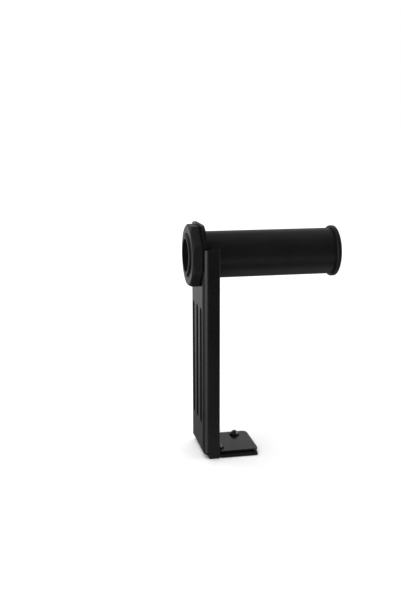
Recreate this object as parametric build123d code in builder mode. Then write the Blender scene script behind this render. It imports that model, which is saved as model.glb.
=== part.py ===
from build123d import *
import os

# Spool holder stand: a bent sheet-steel arm that carries a hollow spool axle, clamped by a large nut.
# Millimetres, +Z up. The origin is on the mounting plane, midway between the two foot screws.
# +X runs along the axle, away from the nut. The stand is symmetrical about the plane Y = 0, except that
# its two foot screws sit on a diagonal and its thread has a hand.

os.makedirs("parts", exist_ok=True)

# ---------------------------------------------------------------- driving dimensions
sheet = 2.0  # thickness of the steel sheet
bend_in = 2.0  # inside radius of a bend
edge_break = 0.35  # rounding of the sheet's cut edges

arm_width = 41.0  # over the two side flanges
arm_depth = 11.0  # from the web's outer face to the flanges' free edges
arm_back = -20.4  # outer face of the web
flange_top = 140.5
flange_corner = 2.0
ear_top = 155.2  # the web stands above the flanges as an ear
ear_corner = 9.0
corner_low = 4.2  # where the corner bends end, above the pad
relief_width = 1.2  # of the cuts where a flange's bend ends
relief_reach = 4.0  # how far those cuts reach in from the side faces

foot_end = 18.1
foot_width = 34.2  # it passes between the flanges
foot_corner = 3.5
pad_thick = 1.6  # of the pad under the foot
pad_end = 17.2
pad_width = 40.4
pad_corner = 2.0
pad_gap = 0.4  # between the pad and the flanges

slot_width = 6.0
slot_pitch = 12.0
slot_low = 23.3
slot_high = 101.7

screw_x = 8.0  # one foot screw is at (screw_x, screw_y), the other diagonally opposite
screw_y = 10.6
screw_hole_r = 1.7

axle_z = 134.4
axle_r = 15.4
axle_bore_r = 12.9
axle_end = 73.6
shoulder_thick = 3.0  # wall behind the shoulder that bears on the web
shoulder_edge = 0.5
lip_r = 17.0
lip_width = 3.2
lip_edge = 0.8

thread_pitch = 3.0
thread_major_r = 13.95
thread_minor_r = 13.0
thread_root = 1.9  # width of the ridge where it leaves the core
thread_crest = 0.8  # width of the ridge at its crest
thread_play = 0.15  # between the axle's thread and the nut's
thread_fuse = 0.12  # how deep a ridge is rooted in its wall
thread_start = -19.3  # middle of the first turn
thread_length = 7.6
neck_end = -28.2
neck_bore_r = 10.9
neck_edge = 0.6
hole_play = 0.2  # between the thread and the hole in the web
key_width = 4.0
key_depth = 1.5
key_play = 0.25

nut_across = 39.2
nut_sides = 8
nut_thick = 6.6
nut_corner = 1.2
nut_turned_r = 21.2  # the nut's blank is turned: its front edge is a cone that cuts the corners
nut_turned_wide = 2.0  # the cone's width, across the axle
nut_turned_deep = 1.7  # the cone's depth, along it
nut_back_chamfer = 0.4
nut_lead_in = 0.7
nut_thread_inset = 1.25  # from the nut's back face to the middle of its first turn
nut_thread_length = 3.2

head_r = 2.7
head_height = 2.7
head_rim = 0.6  # straight part of the head, below its dome
washer_r = 3.5
washer_hole_r = 1.4
washer_thick = 0.6
screw_neck_r = 1.25  # thinner than the thread, so that the washer stays on the screw
screw_thread_r = 1.5
screw_thread_top = -0.2
screw_tip = -6.0
screw_tip_chamfer = 0.4
socket_across = 2.0
socket_depth = 1.1
small_edge = 0.15

# ---------------------------------------------------------------- worked out from them
bend_out = bend_in + sheet
arm_front = arm_back + arm_depth
web_in = arm_back + sheet
half_arm = arm_width / 2
half_foot = foot_width / 2
pad_narrow = arm_width - 2 * (sheet + pad_gap)  # the pad's width between the flanges
foot_back = arm_back + bend_out
foot_top = pad_thick + sheet
bend_top = pad_thick + bend_out  # where the web starts to bend into the foot
web_hole_r = thread_major_r + hole_play
tab_height = web_hole_r - (thread_major_r - key_depth + key_play)
nut_front = arm_back - nut_thick
nut_groove_r = thread_major_r + thread_play
nut_crest_r = thread_minor_r + thread_play
nut_thread_start = arm_back - nut_thread_inset
head_low = foot_top + washer_thick
dome_rise = head_height - head_rim
dome_r = (head_r**2 + dome_rise**2) / (2 * dome_rise)
screw_places = [(screw_x, screw_y), (-screw_x, -screw_y)]
web_plane = Plane(origin=(arm_back, 0, 0), x_dir=(0, 1, 0), z_dir=(1, 0, 0))


def across_axle(x):
    """A sketch plane across the axle at x: its x axis is +Y, its y axis +Z and its normal +X."""
    return Plane(origin=(x, 0, axle_z), x_dir=(0, 1, 0), z_dir=(1, 0, 0))


def circles_of(part, radius):
    """The circular edges of a part that have this radius."""
    rims = part.edges().filter_by(GeomType.CIRCLE)
    return rims.filter_by(lambda rim: abs(rim.radius - radius) < 0.001)


def ridge_width(radius):
    """Width of the axle's thread ridge at a radius."""
    taper = (thread_crest - thread_root) / (thread_major_r - thread_minor_r)
    return thread_root + taper * (radius - thread_minor_r)


def space_width(radius):
    """Width of the nut's ridge at a radius: the space between the axle's turns, less the play."""
    return thread_pitch - ridge_width(radius) - 2 * thread_play


def helical_ridge(start, length, base_r, tip_r, width):
    """A right-hand helical ridge about the axle, from start along -X. width gives its width at a radius."""
    with BuildPart() as ridge:
        with BuildLine():
            path = Helix(thread_pitch, length, base_r, center=(start, 0, axle_z), direction=(-1, 0, 0))
        first = path @ 0
        outward = Vector(0, first.Y, first.Z - axle_z)
        with BuildSketch(Plane(origin=first, x_dir=outward, z_dir=path % 0)):
            with BuildLine():
                Polyline(
                    (0, -width(base_r) / 2),
                    (tip_r - base_r, -width(tip_r) / 2),
                    (tip_r - base_r, width(tip_r) / 2),
                    (0, width(base_r) / 2),
                    close=True,
                )
            make_face()
        sweep(path=path, is_frenet=True)
    return ridge.part


# ---------------------------------------------------------------- foot: a plate with two screw holes
with BuildPart() as foot:
    with BuildSketch(Plane.XY.offset(pad_thick)) as foot_outline:
        with Locations((foot_back, 0)):
            Rectangle(foot_end - foot_back, foot_width, align=(Align.MIN, Align.CENTER))
        fillet(foot_outline.vertices().group_by(Axis.X)[-1], foot_corner)
    extrude(amount=sheet)
    rims = foot.edges().group_by(Axis.Z)[0] + foot.edges().group_by(Axis.Z)[-1]
    fillet(rims.filter_by_position(Axis.X, foot_back + edge_break, foot_end), edge_break)
    with BuildSketch(Plane.XY.offset(pad_thick)):
        with Locations(*screw_places):
            Circle(screw_hole_r)
    extrude(amount=sheet, mode=Mode.SUBTRACT)

# ---------------------------------------------------------------- bracket: web, flanges, ear and foot in one
with BuildPart() as bracket:
    # a channel of web and two flanges, whose free edges are slightly rounded
    with BuildSketch(Plane.XY) as channel:
        with BuildLine():
            FilletPolyline(
                (arm_front, -half_arm),
                (arm_back, -half_arm),
                (arm_back, half_arm),
                (arm_front, half_arm),
                radius=bend_out,
            )
            Line((arm_front, half_arm), (arm_front, half_arm - sheet))
            FilletPolyline(
                (arm_front, half_arm - sheet),
                (web_in, half_arm - sheet),
                (web_in, sheet - half_arm),
                (arm_front, sheet - half_arm),
                radius=bend_in,
            )
            Line((arm_front, sheet - half_arm), (arm_front, -half_arm))
        make_face()
        fillet(channel.vertices().group_by(Axis.X)[-1], edge_break)
    extrude(amount=flange_top)

    # the ear, where the web goes on above the flanges
    with BuildSketch(web_plane):
        with Locations((0, (flange_top + ear_top) / 2)):
            Rectangle(arm_width, ear_top - flange_top)
    extrude(amount=sheet)
    fillet(bracket.edges().filter_by(Axis.X).group_by(Axis.Z)[-1], ear_corner)

    # the corner bends end above the pad, the web ends a little higher, and a bend carries it into the foot
    for wide, high in ((arm_width + sheet, corner_low), (foot_width, bend_top)):
        with BuildSketch(Plane.XY):
            with Locations((arm_back, 0)):
                Rectangle(2 * bend_out, wide)
        extrude(amount=high, mode=Mode.SUBTRACT)
    with BuildSketch(Plane.XZ.offset(-half_foot)):
        with BuildLine():
            RadiusArc((arm_back, bend_top), (foot_back, pad_thick), -bend_out)
            Line((foot_back, pad_thick), (foot_back, foot_top))
            RadiusArc((foot_back, foot_top), (web_in, bend_top), bend_in)
            Line((web_in, bend_top), (arm_back, bend_top))
        make_face()
    extrude(amount=foot_width)
    add(foot.part)

    # relief cuts between the flanges' bends and the ear
    with BuildSketch(web_plane):
        with Locations((half_arm, flange_top), (-half_arm, flange_top)):
            SlotOverall(2 * relief_reach, relief_width)
    extrude(amount=bend_out, mode=Mode.SUBTRACT)

    # three upright slots in the web
    with BuildSketch(web_plane):
        with Locations(*[(place * slot_pitch, (slot_low + slot_high) / 2) for place in (-1, 0, 1)]):
            SlotOverall(slot_high - slot_low, slot_width, rotation=90)
    extrude(amount=sheet, mode=Mode.SUBTRACT)

    # the hole for the axle's neck, with a tab at the bottom that stops the axle from turning
    with BuildSketch(across_axle(arm_back)):
        Circle(web_hole_r)
        with Locations((0, -web_hole_r)):
            Rectangle(key_width, 2 * tab_height, mode=Mode.SUBTRACT)
    extrude(amount=sheet, mode=Mode.SUBTRACT)
bracket.part.label = "bracket"
export_step(bracket.part, "parts/bracket.step")

# ---------------------------------------------------------------- spool axle: a tube with a threaded neck
with BuildPart() as spool_axle:
    with BuildSketch(across_axle(web_in)):
        Circle(axle_r)
    extrude(amount=axle_end - web_in)
    chamfer(spool_axle.faces().sort_by(Axis.X)[0].edges(), shoulder_edge)
    with BuildSketch(across_axle(axle_end - lip_width)):
        Circle(lip_r)
    extrude(amount=lip_width)
    fillet(circles_of(spool_axle, lip_r), lip_edge)
    with BuildSketch(across_axle(neck_end)):
        Circle(thread_minor_r)
    extrude(amount=web_in - neck_end)
    chamfer(spool_axle.faces().sort_by(Axis.X)[0].edges(), neck_edge)
    add(helical_ridge(thread_start, thread_length, thread_minor_r - thread_fuse, thread_major_r, ridge_width))
    # the bore, narrower in the neck
    with BuildSketch(across_axle(neck_end)):
        Circle(neck_bore_r)
    extrude(amount=axle_end - neck_end, mode=Mode.SUBTRACT)
    with BuildSketch(across_axle(web_in + shoulder_thick)):
        Circle(axle_bore_r)
    extrude(amount=axle_end - web_in - shoulder_thick, mode=Mode.SUBTRACT)
    fillet(circles_of(spool_axle, axle_bore_r).sort_by(Axis.X)[-1], lip_edge)
    # the keyway along the bottom of the neck
    with BuildSketch(across_axle(neck_end)):
        with Locations((0, -thread_major_r)):
            Rectangle(key_width + 2 * key_play, 2 * key_depth)
    extrude(amount=web_in - neck_end, mode=Mode.SUBTRACT)
spool_axle.part.label = "spool_axle"
export_step(spool_axle.part, "parts/spool_axle.step")

# ---------------------------------------------------------------- clamp nut: an octagon with an inner thread
with BuildPart() as nut_blank:
    with BuildSketch(across_axle(nut_front)):
        Circle(nut_turned_r)
    extrude(amount=nut_thick)
    front = nut_blank.faces().sort_by(Axis.X)[0]
    chamfer(front.edges(), nut_turned_deep, nut_turned_wide)

with BuildPart() as clamp_nut:
    with BuildSketch(across_axle(nut_front)):
        RegularPolygon(nut_across / 2, nut_sides, major_radius=False, rotation=180 / nut_sides)
    extrude(amount=nut_thick)
    fillet(clamp_nut.edges().filter_by(Axis.X), nut_corner)
    add(nut_blank.part, mode=Mode.INTERSECT)
    chamfer(clamp_nut.faces().sort_by(Axis.X)[-1].edges(), nut_back_chamfer)
    with BuildSketch(across_axle(nut_front)):
        Circle(nut_groove_r)
    extrude(amount=nut_thick, mode=Mode.SUBTRACT)
    chamfer(circles_of(clamp_nut, nut_groove_r), nut_lead_in)
    # the nut's ridge lies midway between the axle's turns
    shift = thread_start - thread_pitch / 2 - nut_thread_start
    ridge = helical_ridge(
        nut_thread_start, nut_thread_length, nut_groove_r + thread_fuse, nut_crest_r, space_width
    )
    add(ridge.rotate(Axis((0, 0, axle_z), (-1, 0, 0)), 360 * shift / thread_pitch))
clamp_nut.part.label = "clamp_nut"
export_step(clamp_nut.part, "parts/clamp_nut.step")

# ---------------------------------------------------------------- foot pad, between the foot and its seat
with BuildPart() as foot_pad:
    with BuildSketch(Plane.XY) as pad_outline:
        with Locations((arm_front + pad_gap, 0)):
            Rectangle(pad_end - arm_front - pad_gap, pad_width, align=(Align.MIN, Align.CENTER))
        fillet(pad_outline.vertices(), pad_corner)
        with Locations((foot_back, 0)):
            Rectangle(pad_end - foot_back, pad_narrow, align=(Align.MIN, Align.CENTER))
        with Locations(*screw_places):
            Circle(screw_hole_r, mode=Mode.SUBTRACT)
    extrude(amount=pad_thick)
foot_pad.part.label = "foot_pad"
export_step(foot_pad.part, "parts/foot_pad.step")

# ---------------------------------------------------------------- foot screws and their washers
with BuildPart() as foot_washers:
    with BuildSketch(Plane.XY.offset(foot_top)):
        with Locations(*screw_places):
            Circle(washer_r)
            Circle(washer_hole_r, mode=Mode.SUBTRACT)
    extrude(amount=washer_thick)
    fillet(circles_of(foot_washers, washer_r), small_edge)
foot_washers.part.label = "foot_washers"
export_step(foot_washers.part, "parts/foot_washers.step")

with BuildPart() as one_screw:
    # a domed head, a thin neck and a thread, as one turned profile
    with BuildSketch(Plane.XZ):
        with BuildLine():
            Polyline(
                (0, screw_tip),
                (screw_thread_r - screw_tip_chamfer, screw_tip),
                (screw_thread_r, screw_tip + screw_tip_chamfer),
                (screw_thread_r, screw_thread_top),
                (screw_neck_r, screw_thread_top),
                (screw_neck_r, head_low),
                (head_r, head_low),
                (head_r, head_low + head_rim),
            )
            RadiusArc((head_r, head_low + head_rim), (0, head_low + head_height), -dome_r)
            Line((0, head_low + head_height), (0, screw_tip))
        make_face()
    revolve(axis=Axis.Z)
    with BuildSketch(Plane.XY.offset(head_low + head_height - socket_depth)):
        RegularPolygon(socket_across / 2, 6, major_radius=False)
    extrude(amount=socket_depth, mode=Mode.SUBTRACT)

with BuildPart() as foot_screws:
    with Locations(*screw_places):
        add(one_screw.part)
foot_screws.part.label = "foot_screws"
export_step(foot_screws.part, "parts/foot_screws.step")
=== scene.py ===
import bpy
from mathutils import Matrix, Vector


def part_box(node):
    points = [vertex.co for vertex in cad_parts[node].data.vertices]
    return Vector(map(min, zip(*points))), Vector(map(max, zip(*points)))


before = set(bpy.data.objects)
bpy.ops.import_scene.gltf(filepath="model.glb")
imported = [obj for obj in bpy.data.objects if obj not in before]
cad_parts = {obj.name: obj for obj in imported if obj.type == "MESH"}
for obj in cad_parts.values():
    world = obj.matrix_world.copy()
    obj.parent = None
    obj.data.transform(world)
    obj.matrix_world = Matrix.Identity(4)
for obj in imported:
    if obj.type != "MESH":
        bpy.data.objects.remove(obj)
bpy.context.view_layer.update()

# Looks of the spool holder stand, in metres: a material for each CAD node, a plain studio and the camera.
# The shape of every node comes from the CAD and stays as it is.

import math

import bpy
from mathutils import Quaternion, Vector

MM = 0.001

NOISE_LOW = 0.3  # nearly all values of a noise texture lie between these two
NOISE_HIGH = 0.7

FLOOR_REACH = 6.0
FLOOR_TONE = 0.88
FLOOR_ROUGHNESS = 0.9
FLOOR_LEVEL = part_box("foot_pad")[0][2]

SUN_STRENGTH = 3.7
SUN_SPREAD = 80  # degrees
SUN_FALLS = (0.25, -0.2, -1.0)

CAMERA_PLACE = (-0.12139, -0.51497, 0.21478)
CAMERA_SENSOR = 36
CAMERA_LENS = 48.53
CAMERA_AZIMUTH = -11.338  # degrees from +Y, anticlockwise from above
CAMERA_DOWN = 11.932
CAMERA_ROLL = -0.181


# ---------------------------------------------------------------- materials
class Material:
    """A small helper around one node tree, so that each material reads as a list of steps."""

    def __init__(self, name, ior):
        self.material = bpy.data.materials.new(name)
        self.material.use_nodes = True
        self.tree = self.material.node_tree
        self.shader = self.tree.nodes["Principled BSDF"]
        self.shader.inputs["IOR"].default_value = ior
        self.place = self.tree.nodes.new("ShaderNodeTexCoord").outputs["Object"]

    def link(self, source, target):
        self.tree.links.new(source, target)

    def noise(self, size, detail):
        """Noise whose features are about size millimetres across."""
        made = self.tree.nodes.new("ShaderNodeTexNoise")
        made.inputs["Scale"].default_value = 1 / (size * MM)
        made.inputs["Detail"].default_value = detail
        self.link(self.place, made.inputs["Vector"])
        return made.outputs["Fac"]

    def spread(self, noise, low=0.0, high=1.0):
        """The noise, spread over low to high."""
        made = self.tree.nodes.new("ShaderNodeMapRange")
        made.inputs["From Min"].default_value = NOISE_LOW
        made.inputs["From Max"].default_value = NOISE_HIGH
        made.inputs["To Min"].default_value = low
        made.inputs["To Max"].default_value = high
        self.link(noise, made.inputs["Value"])
        return made.outputs["Result"]

    def add(self, first, second):
        made = self.tree.nodes.new("ShaderNodeMath")
        made.operation = "ADD"
        self.link(first, made.inputs[0])
        self.link(second, made.inputs[1])
        return made.outputs["Value"]

    def mottle(self, noise, dark, pale):
        """A colour that wanders between dark and pale."""
        made = self.tree.nodes.new("ShaderNodeMix")
        made.data_type = "RGBA"
        self.link(self.spread(noise), made.inputs["Factor"])
        for socket, color in zip(made.inputs[6:8], (dark, pale)):
            socket.default_value = (*color, 1)
        return made.outputs[2]

    def bump(self, height, distance, strength, under=None):
        """A relief about distance millimetres deep, laid over another one where that is given."""
        made = self.tree.nodes.new("ShaderNodeBump")
        made.inputs["Strength"].default_value = strength
        made.inputs["Distance"].default_value = distance * MM
        self.link(height, made.inputs["Height"])
        if under is not None:
            self.link(under, made.inputs["Normal"])
        return made.outputs["Normal"]

    def finish(self, color, roughness, normal):
        self.link(color, self.shader.inputs["Base Color"])
        self.link(roughness, self.shader.inputs["Roughness"])
        self.link(normal, self.shader.inputs["Normal"])
        return self.material


def powder_coat():
    """Satin black powder coat: a fine grain over a soft orange peel, a little cloudy in colour and gloss."""
    made = Material("powder_coat", ior=1.5)
    grain = made.noise(0.35, detail=3)
    peel = made.noise(1.6, detail=1)
    cloud = made.noise(30, detail=3)
    color = made.mottle(cloud, dark=(0.0048, 0.0047, 0.0047), pale=(0.0072, 0.007, 0.007))
    roughness = made.add(made.spread(grain, 0.22, 0.31), made.spread(cloud, -0.03, 0.03))
    return made.finish(color, roughness, made.bump(grain, 0.02, 0.5, under=made.bump(peel, 0.03, 0.4)))


def moulded_plastic(name, dark, pale, smooth, rough):
    """Black moulded plastic with a faint spark-eroded texture."""
    made = Material(name, ior=1.5)
    grain = made.noise(0.25, detail=2)
    flow = made.noise(14, detail=3)
    color = made.mottle(flow, dark, pale)
    return made.finish(color, made.spread(grain, smooth, rough), made.bump(grain, 0.015, 0.4))


def black_steel():
    """Black-oxide steel, slightly glossy."""
    made = Material("black_steel", ior=2.1)
    grain = made.noise(0.2, detail=2)
    color = made.mottle(grain, dark=(0.003, 0.003, 0.0033), pale=(0.006, 0.006, 0.0065))
    return made.finish(color, made.spread(grain, 0.14, 0.22), made.bump(grain, 0.01, 0.15))


def paint(node, material):
    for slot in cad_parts[node].material_slots:
        slot.material = material


# node: material, darkest and palest colour, lowest and highest roughness
PLASTICS = {
    # The axle is black plastic. Its colour is darkened well below the nut's: painted shade for the spool's
    # shadow over the tube.
    "spool_axle": ("axle_plastic", (0.0035, 0.0035, 0.0038), (0.0055, 0.0055, 0.0058), 0.34, 0.44),
    "clamp_nut": ("nut_plastic", (0.008, 0.008, 0.0083), (0.011, 0.011, 0.0114), 0.26, 0.36),
    # The foot_pad node is near-black and rough. It fills the dark band under the foot plate and along the
    # front of the plate's edge.
    "foot_pad": ("pad_plastic", (0.002, 0.002, 0.002), (0.003, 0.003, 0.003), 0.75, 0.9),
    "foot_washers": ("washer_plastic", (0.002, 0.002, 0.002), (0.003, 0.003, 0.003), 0.8, 0.95),
}

paint("bracket", powder_coat())
for node, finish in PLASTICS.items():
    paint(node, moulded_plastic(*finish))
paint("foot_screws", black_steel())


# ---------------------------------------------------------------- studio
def turn(degrees):
    """The place of a compass direction on the ramp around the room: 0 is +X and 90 is +Y."""
    return (degrees + 180) % 360 / 360


def level(degrees):
    """The place of a height above the horizon on the ramps from straight down to straight up."""
    return 0.5 + 0.5 * math.sin(math.radians(degrees))


# The room's brightness, as (place, brightness) stops. Each face of the black object mirrors one part of it.
ROOM = 1.75
AROUND = [
    (0.0, 0.24), (turn(195), 0.45), (turn(212), 0.95), (turn(226), 1.0), (turn(236), 0.6), (turn(252), 0.06),
    (turn(272), 0.0), (turn(305), 0.02), (turn(335), 0.6), (turn(0), 1.0), (turn(40), 0.9), (turn(80), 0.43),
    (turn(105), 0.4), (turn(145), 0.3), (1.0, 0.24),
]
FRONT_LEVEL = [
    (level(-30), 0.3), (level(-20), 0.45), (level(-17), 0.5), (level(-13), 1.05), (level(-10.5), 1.15),
    (level(-8), 2.1), (level(-5), 1.2), (level(20), 0.8), (1.0, 0.1),
]
BACK_LEVEL = [
    (level(-30), 0.15), (level(-22), 0.22), (level(-8), 0.76), (level(0), 0.66), (level(6), 0.25),
    (level(12), 0.12), (level(22), 0.78), (level(45), 0.22), (1.0, 0.1),
]
LOW_GLOW = [(level(-50), 0.0), (level(-32), 0.1), (level(-25), 0.3), (level(-19), 0.01), (level(-15), 0.0)]
HIGH_GLOW = [(level(20), 0.0), (level(60), 0.02), (1.0, 0.05)]
FRONT_TO_BACK = 1.5  # how fast the front's levels give way to the back's, along +Y


def floor():
    near, far = -FLOOR_REACH, FLOOR_REACH
    corners = [(x, y, FLOOR_LEVEL) for x, y in ((near, near), (far, near), (far, far), (near, far))]
    mesh = bpy.data.meshes.new("floor")
    mesh.from_pydata(corners, [], [(0, 1, 2, 3)])
    made = bpy.data.objects.new("floor", mesh)
    bpy.context.scene.collection.objects.link(made)
    material = bpy.data.materials.new("floor_paper")
    material.use_nodes = True
    shader = material.node_tree.nodes["Principled BSDF"]
    shader.inputs["Base Color"].default_value = (FLOOR_TONE, FLOOR_TONE, FLOOR_TONE, 1)
    shader.inputs["Roughness"].default_value = FLOOR_ROUGHNESS
    mesh.materials.append(material)
    made.visible_glossy = False


def overhead():
    """A very soft light from above that lights the floor, and leaves no highlight on the gloss."""
    data = bpy.data.lights.new("overhead", "SUN")
    data.energy = SUN_STRENGTH
    data.angle = math.radians(SUN_SPREAD)
    made = bpy.data.objects.new("overhead", data)
    bpy.context.scene.collection.objects.link(made)
    made.rotation_mode = "QUATERNION"
    made.rotation_quaternion = Vector(SUN_FALLS).to_track_quat("-Z", "Y")
    made.visible_glossy = False


def ramp(tree, value, stops):
    """A smooth curve through (place, brightness) stops."""
    made = tree.nodes.new("ShaderNodeValToRGB")
    made.color_ramp.interpolation = "EASE"
    while len(made.color_ramp.elements) < len(stops):
        made.color_ramp.elements.new(0.5)
    for element, (place, bright) in zip(made.color_ramp.elements, stops):
        element.position = place
        element.color = (bright, bright, bright, 1)
    tree.links.new(value, made.inputs["Fac"])
    return made.outputs["Color"]


def room():
    """A room with broad lights at the front left and at the right, which the camera sees as plain white."""
    world = bpy.data.worlds.new("studio")
    world.use_nodes = True
    world.cycles.sampling_method = "NONE"
    tree = world.node_tree
    split = tree.nodes.new("ShaderNodeSeparateXYZ")
    tree.links.new(tree.nodes.new("ShaderNodeTexCoord").outputs["Generated"], split.inputs["Vector"])

    def math_node(operation, *values):
        made = tree.nodes.new("ShaderNodeMath")
        made.operation = operation
        for socket, value in zip(made.inputs, values):
            if isinstance(value, float):
                socket.default_value = value
            else:
                tree.links.new(value, socket)
        return made.outputs["Value"]

    angle = math_node("ARCTAN2", split.outputs["Y"], split.outputs["X"])
    around = math_node("MULTIPLY_ADD", angle, 0.5 / math.pi, 0.5)
    height = math_node("MULTIPLY_ADD", split.outputs["Z"], 0.5, 0.5)
    back = math_node("MULTIPLY_ADD", split.outputs["Y"], FRONT_TO_BACK, 0.5)
    back.node.use_clamp = True
    front = math_node("SUBTRACT", 1.0, back)
    from_back = math_node("MULTIPLY", ramp(tree, height, BACK_LEVEL), back)
    from_front = math_node("MULTIPLY", ramp(tree, height, FRONT_LEVEL), front)
    sides = math_node("MULTIPLY", ramp(tree, around, AROUND), math_node("ADD", from_back, from_front))
    low = math_node("MULTIPLY", ramp(tree, height, LOW_GLOW), front)
    ends = math_node("ADD", low, ramp(tree, height, HIGH_GLOW))
    light = tree.nodes["Background"]
    light.inputs["Strength"].default_value = ROOM
    tree.links.new(math_node("ADD", sides, ends), light.inputs["Color"])
    white = tree.nodes.new("ShaderNodeBackground")
    white.inputs["Color"].default_value = (1, 1, 1, 1)
    path = tree.nodes.new("ShaderNodeLightPath")
    mixer = tree.nodes.new("ShaderNodeMixShader")
    tree.links.new(path.outputs["Is Camera Ray"], mixer.inputs["Fac"])
    tree.links.new(light.outputs["Background"], mixer.inputs[1])
    tree.links.new(white.outputs["Background"], mixer.inputs[2])
    tree.links.new(mixer.outputs["Shader"], tree.nodes["World Output"].inputs["Surface"])
    bpy.context.scene.world = world


def camera():
    data = bpy.data.cameras.new("camera")
    data.sensor_width = CAMERA_SENSOR
    data.lens = CAMERA_LENS
    made = bpy.data.objects.new("camera", data)
    bpy.context.scene.collection.objects.link(made)
    made.location = CAMERA_PLACE
    azimuth = math.radians(CAMERA_AZIMUTH)
    down = math.radians(CAMERA_DOWN)
    horizontal = math.cos(down)
    forward = Vector((-math.sin(azimuth) * horizontal, math.cos(azimuth) * horizontal, -math.sin(down)))
    made.rotation_mode = "QUATERNION"
    roll = Quaternion((0, 0, 1), math.radians(CAMERA_ROLL))
    made.rotation_quaternion = forward.to_track_quat("-Z", "Y") @ roll
    bpy.context.scene.camera = made


floor()
room()
overhead()
camera()
bpy.context.scene.view_settings.view_transform = "Standard"
